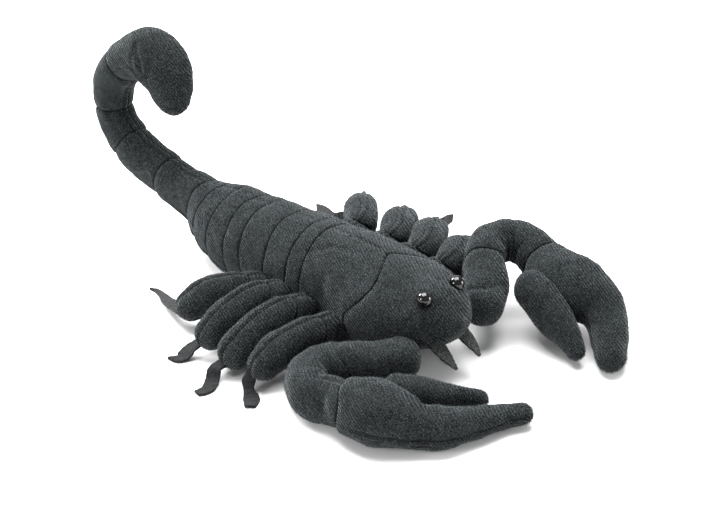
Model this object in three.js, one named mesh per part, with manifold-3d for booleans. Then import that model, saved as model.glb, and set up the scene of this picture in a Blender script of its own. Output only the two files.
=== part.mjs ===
// A stuffed velour toy scorpion, lying on its belly with its tail curled over its back.
// Millimetres, +Z up. The head faces -Y and the toy's left side is +X.
// The origin is on the floor under the first seam behind the chest.

import * as THREE from 'three';
import { mergeVertices } from 'three/addons/utils/BufferGeometryUtils.js';
import Module from 'manifold-3d';

const wasm = await Module();
wasm.setup();

// ---- Driving dimensions ----

const GAP = 0.3; // clear space between pieces that touch
const FLOOR = 0; // nothing reaches below this height
const SQUARENESS = 2.25; // exponent of the stuffed sections, 2 is an ellipse
const FELT = 1.5; // thickness of the feet and fangs

const BODY_SIDES = 20;
const ARM_SIDES = 16;
const LEG_SIDES = 12;
const DOME_ROWS = 3; // rings that round off a closed end
const ROWS = { // rows of faces along each piece
  head: 8,
  thorax: 3,
  abdomen: 2,
  tail: 3,
  telson: 9,
  upperArm: 3,
  forearm: 8,
  claw: 9,
  thumb: 5,
  thigh: 2,
  shin: 5,
  foot: 10,
  fang: 6,
};
const STEPS_PER_STATION = 60; // fine steps that measure the length along a curve
const CURVE_TENSION = 0.5;
const WELD = 1e-4; // corners nearer than this are one corner
const CUTTER_FLOOR = -5; // a cutting solid reaches through the floor

// The V seam behind the head, measured along the body from its station; less is nearer the nose.
const V_TOP = -3.5; // on the middle line of the back
const V_DIP = -9.5; // how far each arm of the V bows forward on its way to the flank
const V_SWEEP = 6.5; // how far each arm comes back by the time it reaches the flank
const SHIN_WIDTH = 10; // half width of a shin pad
const SHIN_HEIGHT = 9.5; // half height of a shin pad
const SHIN_ARCH = 4.2; // how far a shin pad bows up between the knee and its end
const HIP_WIDTH = 6.5; // half width of a thigh at the body
const HIP_HEIGHT = 9; // half height of a thigh at the body
const KNEE_SHARE = { wide: 0.95, high: 0.98 }; // of the shin pad's size, at the knee
const PAD_END_SHARE = 0.85; // of the shin pad's size, where its rounded end closes
const FOOT_WIDTH = 3.8; // half width of a felt foot
const LYING = FELT / 2; // height of the middle of a felt strip that lies on the floor
const TOE_SHAPES = { // shares of FOOT_WIDTH, from the pad to the toe
  thin: [1.3, 1, 0.65, 0.4, 0.1],
  heeled: [1.1, 1.2, 1.25, 0.95, 0.12],
  round: [1.05, 1, 1, 0.95, 0.65],
  bulb: [0.95, 0.95, 0.75, 1.15, 0.75],
};
const KNEE = 1; // station of the leg where the thigh meets the shin pad
const KNEE_SLANT = 3.5; // how much nearer the body the knee seam is on top than at its sides
const EYE_RADIUS = 4; // the beads are 8 mm across
const EYE_SIDES = 12;
const EYE_BANDS = 8;
const EYE_SPREAD = 12.6; // from the middle of the head to each eye
const FANG_SPREAD = 9.2; // from the middle of the head to each fang

const SIDE = new THREE.Vector3(1, 0, 0); // towards the toy's left
const UP = new THREE.Vector3(0, 0, 1);

// ---- Stations: a centre with a half width and a half height ----

const station = (x, y, z, wide, high) => ({
  centre: new THREE.Vector3(x, y, z),
  size: new THREE.Vector3(wide, high, 0),
});

// Rings on the middle plane of the body, from the nose to the tip of the sting.
const ring = (y, z, wide, high) => station(0, y, z, wide, high);

const HEAD_RINGS = [
  ring(-92.5, 35.2, 6, 6), // nose
  ring(-89, 34.3, 11.5, 9.5),
  ring(-84, 33.6, 17.3, 13.7),
  ring(-76.5, 33.3, 22.8, 17.6), // eyes
  ring(-60, 31.3, 30.2, 22.2), // cheeks
  ring(-40, 29.5, 30, 27), // V seam
  ring(-20, 28.8, 27.3, 28.6), // chest
];
const TRUNK_SEAMS = [
  ring(-1, 28.2, 26.5, 29),
  ring(10, 27.8, 26.3, 28.8),
  ring(28, 27, 26.1, 28.2),
  ring(49, 26.2, 25.3, 27.2),
  ring(63, 26.3, 24.4, 26.7),
  ring(79.5, 28.2, 22.4, 24.6),
  ring(94, 31.4, 18.6, 20),
  ring(105, 34.2, 14.7, 15.2), // root of the tail
];
const TAIL_RINGS = [
  ring(119, 36.8, 13.3, 13.1),
  ring(136.5, 40.2, 13, 12.9), // seam
  ring(154, 44.3, 12.5, 12.7),
  ring(170.5, 52, 12, 12.1), // seam
  ring(180.5, 61.5, 12, 11.8),
  ring(184, 72, 12.1, 11.6), // seam
  ring(181.5, 89, 12.5, 11.8),
  ring(170.5, 102.8, 13, 12.5), // seam
  ring(162.5, 108.4, 13.6, 13.6),
  ring(152.6, 113, 14.5, 14.8),
  ring(143.2, 113.2, 15.2, 15.8),
  ring(134.9, 108.6, 15, 16.1),
  ring(130.1, 100.8, 13.2, 14.4),
  ring(129.8, 93, 10.6, 12.1),
  ring(130.6, 87.8, 8.3, 9.7),
  ring(131.7, 84, 6.2, 7.2), // tip of the sting
];
const V_SEAM = 5; // station of the V seam
const FIRST_TRUNK_SEAM = HEAD_RINGS.length;
const TAIL_ROOT = FIRST_TRUNK_SEAM + TRUNK_SEAMS.length - 1;
const RINGS_PER_TAIL_PIECE = 2;
const TAIL_SEAMS = [1, 2, 3, 4].map((seam) => TAIL_ROOT + RINGS_PER_TAIL_PIECE * seam);

// Arms, from beside the chin to the elbow, and round the bend to the wrist and the tip of the long finger.
const ELBOW_SEAM = 3; // stations of the two seams
const WRIST = 7;
const RIGHT_ELBOW_SLANT = 6.3; // how much further along the arm the seam is on top than on its inner side
const LEFT_ELBOW_SLANT = 0; // the left one goes straight round
const RIGHT_WRIST_SWEEP = 11; // how far the right wrist seam is drawn towards the palm on its outer side
const LEFT_WRIST_SWEEP = 0; // the left one goes straight round as well
const WRIST_OUTSIDE = 0.35; // angle round the section where the seam is drawn furthest, in radians
const RIGHT_ARM = [
  station(-19.5, -82, 21.5, 10.3, 10.6), // inner end, beside the chin
  station(-28.2, -77, 19.8, 11.2, 11.2),
  station(-36.3, -67, 16.2, 11.3, 11),
  station(-46.3, -55.3, 14.8, 11.4, 12.4), // elbow seam
  station(-55.7, -46.6, 13.3, 10.8, 12.3),
  station(-68.8, -48.9, 13, 10.7, 12.2),
  station(-75.8, -60.6, 12.8, 10.8, 12.2),
  station(-71.2, -73.6, 13.2, 11.6, 12.2), // wrist
  station(-70, -86, 15, 14.8, 14.6),
  station(-67, -98, 16, 17.7, 15.8), // palm
  station(-62.5, -108.5, 13.6, 14.1, 13.5),
  station(-58, -115.5, 11.4, 11.3, 11.2),
  station(-48.5, -123, 10.4, 10.9, 10.3),
  station(-35.5, -129, 8.8, 8.6, 8.5),
  station(-18.5, -135.5, 7.4, 6.5, 6.5),
  station(-3.5, -143, 6.5, 4.8, 5), // tip of the finger
];
const LEFT_ARM = [
  station(27, -81, 20, 11, 11.3), // inner end, beside the cheek
  station(38.8, -75.3, 24, 12.1, 12.2),
  station(49.3, -68.3, 28, 12.2, 12.4),
  station(59.5, -58, 32.8, 11.6, 12.6), // elbow seam
  station(69.4, -51.7, 36.3, 10.6, 12.3),
  station(81.1, -55.6, 37.6, 10.4, 12.2),
  station(87, -66.4, 35.8, 10.4, 12.2),
  station(84.3, -78, 32.4, 12.2, 12.6), // wrist
  station(80.5, -93, 29.6, 16, 15),
  station(81.8, -106, 25.6, 18.2, 16), // palm
  station(82.5, -119.8, 19.8, 12.9, 13.7),
  station(77, -129.5, 15, 10.8, 11.7),
  station(69, -136.8, 11.2, 9.6, 10.2),
  station(61.5, -143.3, 8.6, 7.8, 8),
  station(55, -149, 6.6, 5.6, 5.7), // tip of the finger
];
const RIGHT_THUMB = [
  station(-54, -88, 14, 8.5, 9),
  station(-43, -91.5, 13, 9.5, 9.2),
  station(-35, -98.5, 11.4, 8.4, 8.2),
  station(-26.5, -106, 9.6, 6.6, 6.6),
  station(-18.5, -113.3, 8.2, 5.1, 5.3),
  station(-10.5, -120.5, 6.8, 4, 4.4),
];
const LEFT_THUMB = [
  station(65, -80, 30.6, 9.8, 10.2),
  station(61.3, -95.8, 26, 10.6, 10.8),
  station(58.3, -107, 19.6, 9.8, 10.2),
  station(57, -117, 13.8, 7.4, 8.2),
  station(54.3, -125, 9.2, 5.4, 6),
  station(51, -130.5, 6.8, 4.4, 4.8),
];

// Legs, from the tail end forward: the hips are evenly spaced, and each leg lies in its own way.
// Each has the height of its hip, its knee, the end of its shin pad, and its foot from the pad to the toe.
// A foot on edge has its width upright, and the others lie flat.
const HIP_FIRST = 28; // behind the origin
const HIP_STEP = -18;
const HIP_INSET = 20; // from the middle of the body
const point = (x, y, z) => new THREE.Vector3(x, y, z);
const LEGS = {
  right: [
    {
      hip: 16,
      knee: point(-41, 31.5, 22.5),
      end: point(-66.5, 51.5, 8.2),
      toe: 'thin',
      foot: [
        point(-64, 50.5, 10.1), point(-58, 71, 5), point(-53.5, 81, 2.5),
        point(-50.5, 90.5, LYING), point(-51.5, 95.5, LYING),
      ],
    },
    {
      hip: 17,
      knee: point(-41.5, 14, 23.8),
      end: point(-79.5, 19.5, 8.2),
      toe: 'heeled',
      foot: [
        point(-76, 23, 8), point(-80.5, 25.5, 5), point(-84.2, 26.5, 2.2),
        point(-88.3, 27.5, LYING), point(-91.7, 32.3, LYING),
      ],
    },
    {
      hip: 17,
      knee: point(-41.5, -6.5, 22.8),
      end: point(-83, -2.5, 8.2),
      toe: 'round',
      foot: [
        point(-81, -1, 8), point(-86, 0.5, 5.5), point(-89.8, -1.6, 2),
        point(-96.4, -5.2, LYING), point(-103.2, -4.4, LYING),
      ],
    },
    {
      hip: 16,
      knee: point(-42, -28, 20),
      end: point(-80, -21, 8.2),
      toe: 'bulb',
      foot: [
        point(-77.5, -19.5, 8.5), point(-81.2, -20, 5.5), point(-84, -23, 2.3),
        point(-87, -28, LYING), point(-92.5, -33, LYING),
      ],
    },
  ],
  left: [
    {
      hip: 22,
      knee: point(48, 26, 28),
      end: point(84, 57.5, 17),
      toe: 'bulb',
      onEdge: true,
      foot: [
        point(76, 57, 14), point(75.5, 66, 9.5), point(75.5, 73, 7.2),
        point(78, 82.5, 5.4), point(81, 93.5, 4),
      ],
    },
    {
      hip: 22,
      knee: point(50, 2, 27.5),
      end: point(90, 28, 16),
      toe: 'round',
      foot: [
        point(88, 25, 13), point(96, 29, 9.5), point(103.5, 30.5, 4),
        point(110, 30, LYING), point(118, 32, LYING),
      ],
    },
    {
      hip: 22,
      knee: point(49, -19.5, 27.5),
      end: point(91.5, 4.5, 17),
      toe: 'round',
      onEdge: true,
      foot: [
        point(89.5, -1.5, 16), point(102, 11, 13.7), point(107.5, 13, 12.8),
        point(113.5, 15, 11.6), point(119.5, 16.2, 10.6),
      ],
    },
    {
      hip: 20,
      knee: point(48, -40, 27),
      end: point(89.5, -23, 15),
      toe: 'round',
      foot: [
        point(85, -24, 12), point(94, -20, 8), point(100, -22, 3),
        point(107, -26, LYING), point(114, -25, LYING),
      ],
    },
  ],
};

// Eyes and fangs, each a mirrored pair; these are the left ones.
const EYE_HEIGHT = 47.6; // above the floor
const EYE_PLACE = -78.2; // along the body
const fangStation = (outward, y, z, wide) => station(FANG_SPREAD + outward, y, z, wide, FELT / 2);
const FANG = [
  fangStation(0, -80, 25, 5), // inside the chin
  fangStation(0.4, -86.5, 21.5, 4.5),
  fangStation(0.4, -93, 17.3, 3.1),
  fangStation(-0.2, -98.3, 13.6, 0.6), // tip
];

// ---- Materials ----

const plush = () => new THREE.MeshStandardMaterial({ color: 0x33393b, roughness: 0.95, metalness: 0 });
const felt = () => new THREE.MeshStandardMaterial({ color: 0x222526, roughness: 1, metalness: 0 });
const bead = () => new THREE.MeshStandardMaterial({ color: 0x08090a, roughness: 0.12, metalness: 0 });

// ---- Sections: closed outlines in the unit square, with a flat side below ----

function roundSection(sides) {
  const bulge = (value) => Math.sign(value) * Math.abs(value) ** (2 / SQUARENESS);
  return Array.from({ length: sides }, (_, side) => {
    const angle = ((side + 0.5) / sides) * 2 * Math.PI - Math.PI / 2;
    return { angle, wide: bulge(Math.cos(angle)), high: bulge(Math.sin(angle)) };
  });
}

function stripSection() {
  return [-135, -45, 45, 135].map((degrees) => {
    const angle = THREE.MathUtils.degToRad(degrees);
    return { angle, wide: Math.sign(Math.cos(angle)), high: Math.sign(Math.sin(angle)) };
  });
}

// ---- A limb: a section carried along a curve through its stations, and parted at cuts across it ----

class Limb {
  // rows: how many rows of faces each piece has, so one more than there are cuts.
  // cuts: station numbers, or functions of the angle round the section that give a distance along the curve.
  // domes: whether the first and the last end are rounded.
  // side: the direction of the section's width; with none, its height points up.
  // grow: how much larger the section is all round.
  constructor(stations, options) {
    const { section, rows, cuts = [], domes = [true, true], side = null, grow = 0, floor = FLOOR } = options;
    this.stations = stations;
    this.options = { section, rows, cuts, domes, side };
    this.path = new THREE.CatmullRomCurve3(stations.map((s) => s.centre), false, 'catmullrom', CURVE_TENSION);
    this.sizes = new THREE.CatmullRomCurve3(stations.map((s) => s.size), false, 'catmullrom', CURVE_TENSION);
    this.path.arcLengthDivisions = STEPS_PER_STATION * (stations.length - 1);
    this.lengths = this.path.getLengths();
    this.length = this.lengths[this.lengths.length - 1];
    this.grow = grow;
    this.floor = floor;
  }

  distanceTo(stationNumber) {
    return this.lengths[STEPS_PER_STATION * stationNumber];
  }

  parameterAt(distance) {
    return this.path.getUtoTmapping(0, THREE.MathUtils.clamp(distance, 0, this.length));
  }

  // Width axis and height axis of the section at curve parameter t.
  axesAt(t) {
    const along = this.path.getTangent(t);
    if (this.options.side) {
      const { side } = this.options;
      const wide = side.clone().addScaledVector(along, -side.dot(along)).normalize();
      return { wide, high: new THREE.Vector3().crossVectors(wide, along) };
    }
    const high = UP.clone().addScaledVector(along, -UP.dot(along)).normalize();
    return { wide: new THREE.Vector3().crossVectors(along, high), high };
  }

  onFloor(place) {
    place.z = Math.max(place.z, this.floor);
    return place;
  }

  // A point of the surface, moved along the curve by shift, so that both faces of a cut stay parallel.
  surfacePoint(distance, corner, shrink, shift) {
    const t = this.parameterAt(distance);
    const { wide, high } = this.axesAt(t);
    const size = this.sizes.getPoint(t);
    return this.onFloor(this.path.getPoint(t)
      .addScaledVector(this.path.getTangent(t), shift)
      .addScaledVector(wide, corner.wide * (size.x + this.grow) * shrink)
      .addScaledVector(high, corner.high * (size.y + this.grow) * shrink));
  }

  centrePoint(distance, shift) {
    const t = this.parameterAt(distance);
    return this.onFloor(this.path.getPoint(t).addScaledVector(this.path.getTangent(t), shift));
  }

  // How far a rounded end reaches from the end of the curve to its first full section.
  domeRadius(t) {
    const size = this.sizes.getPoint(t);
    return (size.x + size.y) / 2;
  }

  domeRows(radius, distanceFromInset) {
    return Array.from({ length: DOME_ROWS }, (_, row) => {
      const turn = ((row + 1) / (DOME_ROWS + 1)) * (Math.PI / 2);
      const distance = distanceFromInset(radius * (1 - Math.cos(turn)));
      return { distance: () => distance, shrink: Math.sin(turn), shift: 0 };
    });
  }

  cutDistance(cut) {
    return typeof cut === 'function' ? cut : () => this.distanceTo(cut);
  }

  // The closed geometry of one piece; gap is the clear space left at each cut.
  piece(index, gap) {
    const { section, rows, cuts, domes } = this.options;
    const isFirst = index === 0;
    const isLast = index === rows.length - 1;
    const startRadius = isFirst && domes[0] ? this.domeRadius(0) : 0;
    const endRadius = isLast && domes[1] ? this.domeRadius(1) : 0;
    const from = isFirst ? () => startRadius : this.cutDistance(cuts[index - 1]);
    const to = isLast ? () => this.length - endRadius : this.cutDistance(cuts[index]);
    const startShift = isFirst ? 0 : gap / 2;
    const endShift = isLast ? 0 : -gap / 2;
    const rings = Array.from({ length: rows[index] + 1 }, (_, row) => ({
      distance: (angle) => THREE.MathUtils.lerp(from(angle), to(angle), row / rows[index]),
      shrink: 1,
      shift: 0,
    }));
    rings[0].shift = startShift;
    rings[rings.length - 1].shift = endShift;
    if (startRadius) rings.unshift(...this.domeRows(startRadius, (inset) => inset));
    if (endRadius) rings.push(...this.domeRows(endRadius, (inset) => this.length - inset).reverse());
    const total = (distance) => section.reduce((sum, corner) => sum + distance(corner.angle), 0);
    const mean = (distance) => total(distance) / section.length;
    return closedLoft(
      rings.map((r) => section.map((c) => this.surfacePoint(r.distance(c.angle), c, r.shrink, r.shift))),
      this.centrePoint(startRadius ? 0 : mean(from), startShift),
      this.centrePoint(endRadius ? this.length : mean(to), endShift),
    );
  }

  pieces() {
    return this.options.rows.map((_, index) => this.piece(index, GAP));
  }

  // The whole limb, GAP larger all round, as a solid to cut its neighbours with.
  cutter() {
    const grown = new Limb(this.stations, { ...this.options, grow: GAP, floor: CUTTER_FLOOR });
    return this.options.rows
      .map((_, index) => solidOf(grown.piece(index, 0)))
      .reduce((whole, piece) => whole.add(piece));
  }
}

function closedLoft(rings, startPole, endPole) {
  const sides = rings[0].length;
  const points = [...rings.flat(), startPole, endPole];
  const startIndex = points.length - 2;
  const endIndex = points.length - 1;
  const lastRing = (rings.length - 1) * sides;
  const faces = [];
  for (let side = 0; side < sides; side += 1) {
    const next = (side + 1) % sides;
    faces.push(startIndex, side, next);
    faces.push(endIndex, lastRing + next, lastRing + side);
    for (let row = 0; row < lastRing; row += sides) {
      faces.push(row + side, row + sides + side, row + next);
      faces.push(row + next, row + sides + side, row + sides + next);
    }
  }
  const geometry = new THREE.BufferGeometry().setFromPoints(points);
  geometry.setIndex(faces);
  return geometry;
}

// ---- Joins and cuts ----

function solidOf(geometry) {
  const bare = geometry.clone();
  bare.deleteAttribute('normal');
  bare.deleteAttribute('uv');
  const merged = mergeVertices(bare, WELD);
  return new wasm.Manifold(new wasm.Mesh({
    numProp: 3,
    vertProperties: Float32Array.from(merged.attributes.position.array),
    triVerts: Uint32Array.from(merged.index.array),
  }));
}

function geometryOf(solid) {
  const mesh = solid.getMesh();
  const geometry = new THREE.BufferGeometry();
  geometry.setAttribute('position', new THREE.BufferAttribute(Float32Array.from(mesh.vertProperties), 3));
  geometry.setIndex(Array.from(mesh.triVerts));
  return geometry;
}

// The geometry with every cutter taken away; of what is left, only the largest body stays.
function carved(geometry, cutters) {
  const rest = cutters.reduce((solid, cutter) => solid.subtract(cutter), solidOf(geometry));
  const bodies = rest.decompose().sort((a, b) => b.volume() - a.volume());
  return geometryOf(bodies[0]);
}

// ---- Scene graph ----

function named(name, geometry, material) {
  const mesh = new THREE.Mesh(geometry, material);
  mesh.name = name;
  return mesh;
}

const scorpion = new THREE.Group();

// ---- Body: head, thorax, abdomen, tail and sting ----

const bodyStations = [...HEAD_RINGS, ...TRUNK_SEAMS, ...TAIL_RINGS];
const trunkSeams = TRUNK_SEAMS.map((_, index) => FIRST_TRUNK_SEAM + index);
const body = new Limb(bodyStations, {
  section: roundSection(BODY_SIDES),
  side: SIDE,
  cuts: [shoulderSeam, ...trunkSeams, ...TAIL_SEAMS],
  rows: [
    ROWS.head,
    ROWS.thorax,
    ...TRUNK_SEAMS.slice(1).map(() => ROWS.abdomen),
    ...TAIL_SEAMS.map(() => ROWS.tail),
    ROWS.telson,
  ],
});
const bodyNames = [
  'head',
  'thorax',
  ...TRUNK_SEAMS.slice(1).map((_, index) => `abdomen_${index + 1}`),
  ...TAIL_SEAMS.map((_, index) => `tail_${index + 1}`),
  'telson',
];
const bodyCutter = body.cutter();

// The V seam as a distance along the body: its two arms meet on top and end at the flanks.
function shoulderSeam(angle) {
  const fromTop = Math.abs(angle - Math.PI / 2);
  const turn = Math.min(Math.min(fromTop, 2 * Math.PI - fromTop) / (Math.PI / 2), 1);
  return body.distanceTo(V_SEAM) + V_TOP + V_DIP * Math.sin(Math.PI * turn) + V_SWEEP * turn ** 3;
}

function buildBody() {
  const group = new THREE.Group();
  body.pieces().forEach((geometry, index) => group.add(named(bodyNames[index], geometry, plush())));
  return group;
}
scorpion.add(buildBody());

// ---- Face: bead eyes and felt fangs ----

function buildFace(sideName, sign) {
  const group = new THREE.Group();
  const eye = new THREE.SphereGeometry(EYE_RADIUS, EYE_SIDES, EYE_BANDS);
  eye.translate(sign * EYE_SPREAD, EYE_PLACE, EYE_HEIGHT);
  group.add(named(`eye_${sideName}`, carved(eye, [bodyCutter]), bead()));
  const fang = new Limb(
    FANG.map(({ centre, size }) => station(sign * centre.x, centre.y, centre.z, size.x, size.y)),
    { section: stripSection(), side: SIDE, rows: [ROWS.fang], domes: [false, false] },
  );
  group.add(named(`fang_${sideName}`, carved(fang.piece(0, 0), [bodyCutter]), felt()));
  return group;
}
scorpion.add(buildFace('right', -1), buildFace('left', 1));

// ---- Arms: upper arm, forearm, claw with its long finger, and thumb ----

function buildArm(sideName, armStations, thumbStations, slant, sweep) {
  const group = new THREE.Group();
  // Both seams as distances along the arm.
  const elbowSeam = (angle) => arm.distanceTo(ELBOW_SEAM) + slant * (Math.sin(angle) - 0.5);
  const wristSeam = (angle) => {
    const outside = (1 + Math.cos(angle - WRIST_OUTSIDE)) / 2;
    return arm.distanceTo(WRIST) + sweep * outside ** 2;
  };
  const arm = new Limb(armStations, {
    section: roundSection(ARM_SIDES),
    cuts: [elbowSeam, wristSeam],
    rows: [ROWS.upperArm, ROWS.forearm, ROWS.claw],
  });
  const thumb = new Limb(thumbStations, { section: roundSection(LEG_SIDES), rows: [ROWS.thumb] });
  const [upperArm, forearm, claw] = arm.pieces();
  const cutter = arm.cutter();
  group.add(named(`upper_arm_${sideName}`, carved(upperArm, [bodyCutter]), plush()));
  group.add(named(`forearm_${sideName}`, carved(forearm, [bodyCutter]), plush()));
  group.add(named(`claw_${sideName}`, claw, plush()));
  group.add(named(`thumb_${sideName}`, carved(thumb.piece(0, 0), [cutter]), plush()));
  return { group, cutter };
}
const rightArm = buildArm('right', RIGHT_ARM, RIGHT_THUMB, RIGHT_ELBOW_SLANT, RIGHT_WRIST_SWEEP);
const leftArm = buildArm('left', LEFT_ARM, LEFT_THUMB, LEFT_ELBOW_SLANT, LEFT_WRIST_SWEEP);
scorpion.add(rightArm.group, leftArm.group);

// ---- Legs: thigh, shin pad and felt foot ----

function legStations(leg, number, sign) {
  const hip = point(sign * HIP_INSET, HIP_FIRST + HIP_STEP * number, leg.hip);
  const at = (place, wide, high) => station(place.x, place.y, place.z, wide, high);
  const middle = leg.knee.clone().lerp(leg.end, 0.5).add(point(0, 0, SHIN_ARCH));
  return [
    at(hip, HIP_WIDTH, HIP_HEIGHT),
    at(leg.knee, SHIN_WIDTH * KNEE_SHARE.wide, SHIN_HEIGHT * KNEE_SHARE.high),
    at(middle, SHIN_WIDTH, SHIN_HEIGHT),
    at(leg.end, SHIN_WIDTH * PAD_END_SHARE, SHIN_HEIGHT * PAD_END_SHARE),
  ];
}

function buildLeg(sideName, number, leg, sign, neighbours) {
  const group = new THREE.Group();
  const label = `${sideName}_${number + 1}`;
  const outward = leg.end.clone().sub(leg.knee).setZ(0);
  const kneeSeam = (angle) => limb.distanceTo(KNEE) - KNEE_SLANT * Math.sin(angle);
  const limb = new Limb(legStations(leg, number, sign), {
    section: roundSection(LEG_SIDES),
    side: new THREE.Vector3().crossVectors(outward, UP).normalize(),
    cuts: [kneeSeam],
    rows: [ROWS.thigh, ROWS.shin],
    domes: [false, true],
  });
  const [thigh, shin] = limb.pieces();
  const widths = TOE_SHAPES[leg.toe].map((share) => share * FOOT_WIDTH);
  const foot = new Limb(
    leg.foot.map((place, index) => station(place.x, place.y, place.z, widths[index], FELT / 2)),
    { section: stripSection(), side: leg.onEdge ? UP : null, rows: [ROWS.foot], domes: [false, false] },
  );
  const cutter = limb.cutter();
  group.add(named(`thigh_${label}`, carved(thigh, [bodyCutter, ...neighbours]), plush()));
  group.add(named(`shin_${label}`, carved(shin, [bodyCutter, ...neighbours]), plush()));
  group.add(named(`foot_${label}`, carved(foot.piece(0, 0), [cutter, ...neighbours]), felt()));
  return { group, cutter };
}

for (const [sideName, sign, armCutter] of [['right', -1, rightArm.cutter], ['left', 1, leftArm.cutter]]) {
  const cutters = [armCutter];
  LEGS[sideName].forEach((leg, number) => {
    const { group, cutter } = buildLeg(sideName, number, leg, sign, cutters);
    scorpion.add(group);
    cutters.push(cutter);
  });
}

export default scorpion;
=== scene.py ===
import math

import bpy
import numpy as np
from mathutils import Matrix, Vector
from mathutils.bvhtree import BVHTree


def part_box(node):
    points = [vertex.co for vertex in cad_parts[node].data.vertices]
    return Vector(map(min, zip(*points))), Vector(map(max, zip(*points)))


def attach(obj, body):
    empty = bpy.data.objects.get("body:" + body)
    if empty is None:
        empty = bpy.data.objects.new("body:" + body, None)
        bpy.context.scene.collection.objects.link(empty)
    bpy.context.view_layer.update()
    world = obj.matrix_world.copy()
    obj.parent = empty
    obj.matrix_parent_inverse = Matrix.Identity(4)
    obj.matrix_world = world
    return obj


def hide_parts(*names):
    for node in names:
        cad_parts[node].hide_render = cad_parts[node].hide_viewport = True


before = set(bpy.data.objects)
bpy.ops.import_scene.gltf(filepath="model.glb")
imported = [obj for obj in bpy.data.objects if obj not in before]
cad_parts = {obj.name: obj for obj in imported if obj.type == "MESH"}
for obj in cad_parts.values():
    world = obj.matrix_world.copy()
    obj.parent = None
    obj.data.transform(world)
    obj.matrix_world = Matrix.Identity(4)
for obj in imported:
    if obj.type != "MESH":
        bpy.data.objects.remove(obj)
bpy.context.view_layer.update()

# A stuffed velour scorpion. Shapes are worked out in millimetres in the row frame,
# +Z up, head towards -Y, the toy's left +X, and turned into metres as meshes are made.
MM = 0.001
SQUARENESS = 2.25  # the power of a stuffed section's outline, where 2 makes an ellipse
FELT_SQUARENESS = 7
FELT = 1.5  # thickness of the felt
LYING = FELT / 2  # height of a felt strip's middle where it lies on the floor
TOP = math.pi / 2  # the angle of the upper side of a section
SIDE = np.array([1.0, 0.0, 0.0])
UP = np.array([0.0, 0.0, 1.0])
SIGNS = {"right": -1, "left": 1}

# ---- Stations, as in the part's own source: x, y, z, half width, half height ----

# x is 0 all along the body
BODY = [(0, *ring) for ring in (
    (-92.5, 35.2, 6, 6), (-89, 34.3, 11.5, 9.5), (-84, 33.6, 17.3, 13.7), (-76.5, 33.3, 22.8, 17.6),
    (-60, 31.3, 30.2, 22.2), (-40, 29.5, 30, 27), (-20, 28.8, 27.3, 28.6), (-1, 28.2, 26.5, 29),
    (10, 27.8, 26.3, 28.8), (28, 27, 26.1, 28.2), (49, 26.2, 25.3, 27.2), (63, 26.3, 24.4, 26.7),
    (79.5, 28.2, 22.4, 24.6), (94, 31.4, 18.6, 20), (105, 34.2, 14.7, 15.2), (119, 36.8, 13.3, 13.1),
    (136.5, 40.2, 13, 12.9), (154, 44.3, 12.5, 12.7), (170.5, 52, 12, 12.1), (180.5, 61.5, 12, 11.8),
    (184, 72, 12.1, 11.6), (181.5, 89, 12.5, 11.8), (170.5, 102.8, 13, 12.5), (162.5, 108.4, 13.6, 13.6),
    (152.6, 113, 14.5, 14.8), (143.2, 113.2, 15.2, 15.8), (134.9, 108.6, 15, 16.1),
    (130.1, 100.8, 13.2, 14.4), (129.8, 93, 10.6, 12.1), (130.6, 87.8, 8.3, 9.7), (131.7, 84, 6.2, 7.2))]
V_SEAM = 5  # the station where the V seam crosses the body
# its shift on top, its dip on the way down and its sweep at the sides
V_TOP, V_DIP, V_SWEEP = -3.5, -9.5, 6.5
TRUNK_SEAMS = list(range(7, 15))
TAIL_SEAMS = list(range(16, 23, 2))
FLANKS = (9, 15)  # the stations between which a seam runs along each side
BODY_NODES = (["head", "thorax"] + [f"abdomen_{i}" for i in range(1, 8)]
              + [f"tail_{i}" for i in range(1, 5)] + ["telson"])

ARMS = {
    "right": [
        (-19.5, -82, 21.5, 10.3, 10.6), (-28.2, -77, 19.8, 11.2, 11.2), (-36.3, -67, 16.2, 11.3, 11),
        (-46.3, -55.3, 14.8, 11.4, 12.4), (-55.7, -46.6, 13.3, 10.8, 12.3), (-68.8, -48.9, 13, 10.7, 12.2),
        (-75.8, -60.6, 12.8, 10.8, 12.2), (-71.2, -73.6, 13.2, 11.6, 12.2), (-70, -86, 15, 14.8, 14.6),
        (-67, -98, 16, 17.7, 15.8), (-62.5, -108.5, 13.6, 14.1, 13.5), (-58, -115.5, 11.4, 11.3, 11.2),
        (-48.5, -123, 10.4, 10.9, 10.3), (-35.5, -129, 8.8, 8.6, 8.5), (-18.5, -135.5, 7.4, 6.5, 6.5),
        (-3.5, -143, 6.5, 4.8, 5)],
    "left": [
        (27, -81, 20, 11, 11.3), (38.8, -75.3, 24, 12.1, 12.2), (49.3, -68.3, 28, 12.2, 12.4),
        (59.5, -58, 32.8, 11.6, 12.6), (69.4, -51.7, 36.3, 10.6, 12.3), (81.1, -55.6, 37.6, 10.4, 12.2),
        (87, -66.4, 35.8, 10.4, 12.2), (84.3, -78, 32.4, 12.2, 12.6), (80.5, -93, 29.6, 16, 15),
        (81.8, -106, 25.6, 18.2, 16), (82.5, -119.8, 19.8, 12.9, 13.7), (77, -129.5, 15, 10.8, 11.7),
        (69, -136.8, 11.2, 9.6, 10.2), (61.5, -143.3, 8.6, 7.8, 8), (55, -149, 6.6, 5.6, 5.7)],
}
ELBOW_SEAM = 3  # the stations of the arm's two seams
WRIST = 7
ELBOW_SLANT = {"right": 6.3, "left": 0}
WRIST_SWEEP = {"right": 11, "left": 0}
WRIST_OUTSIDE = 0.35  # the angle at which the wrist's seam sweeps furthest
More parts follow.
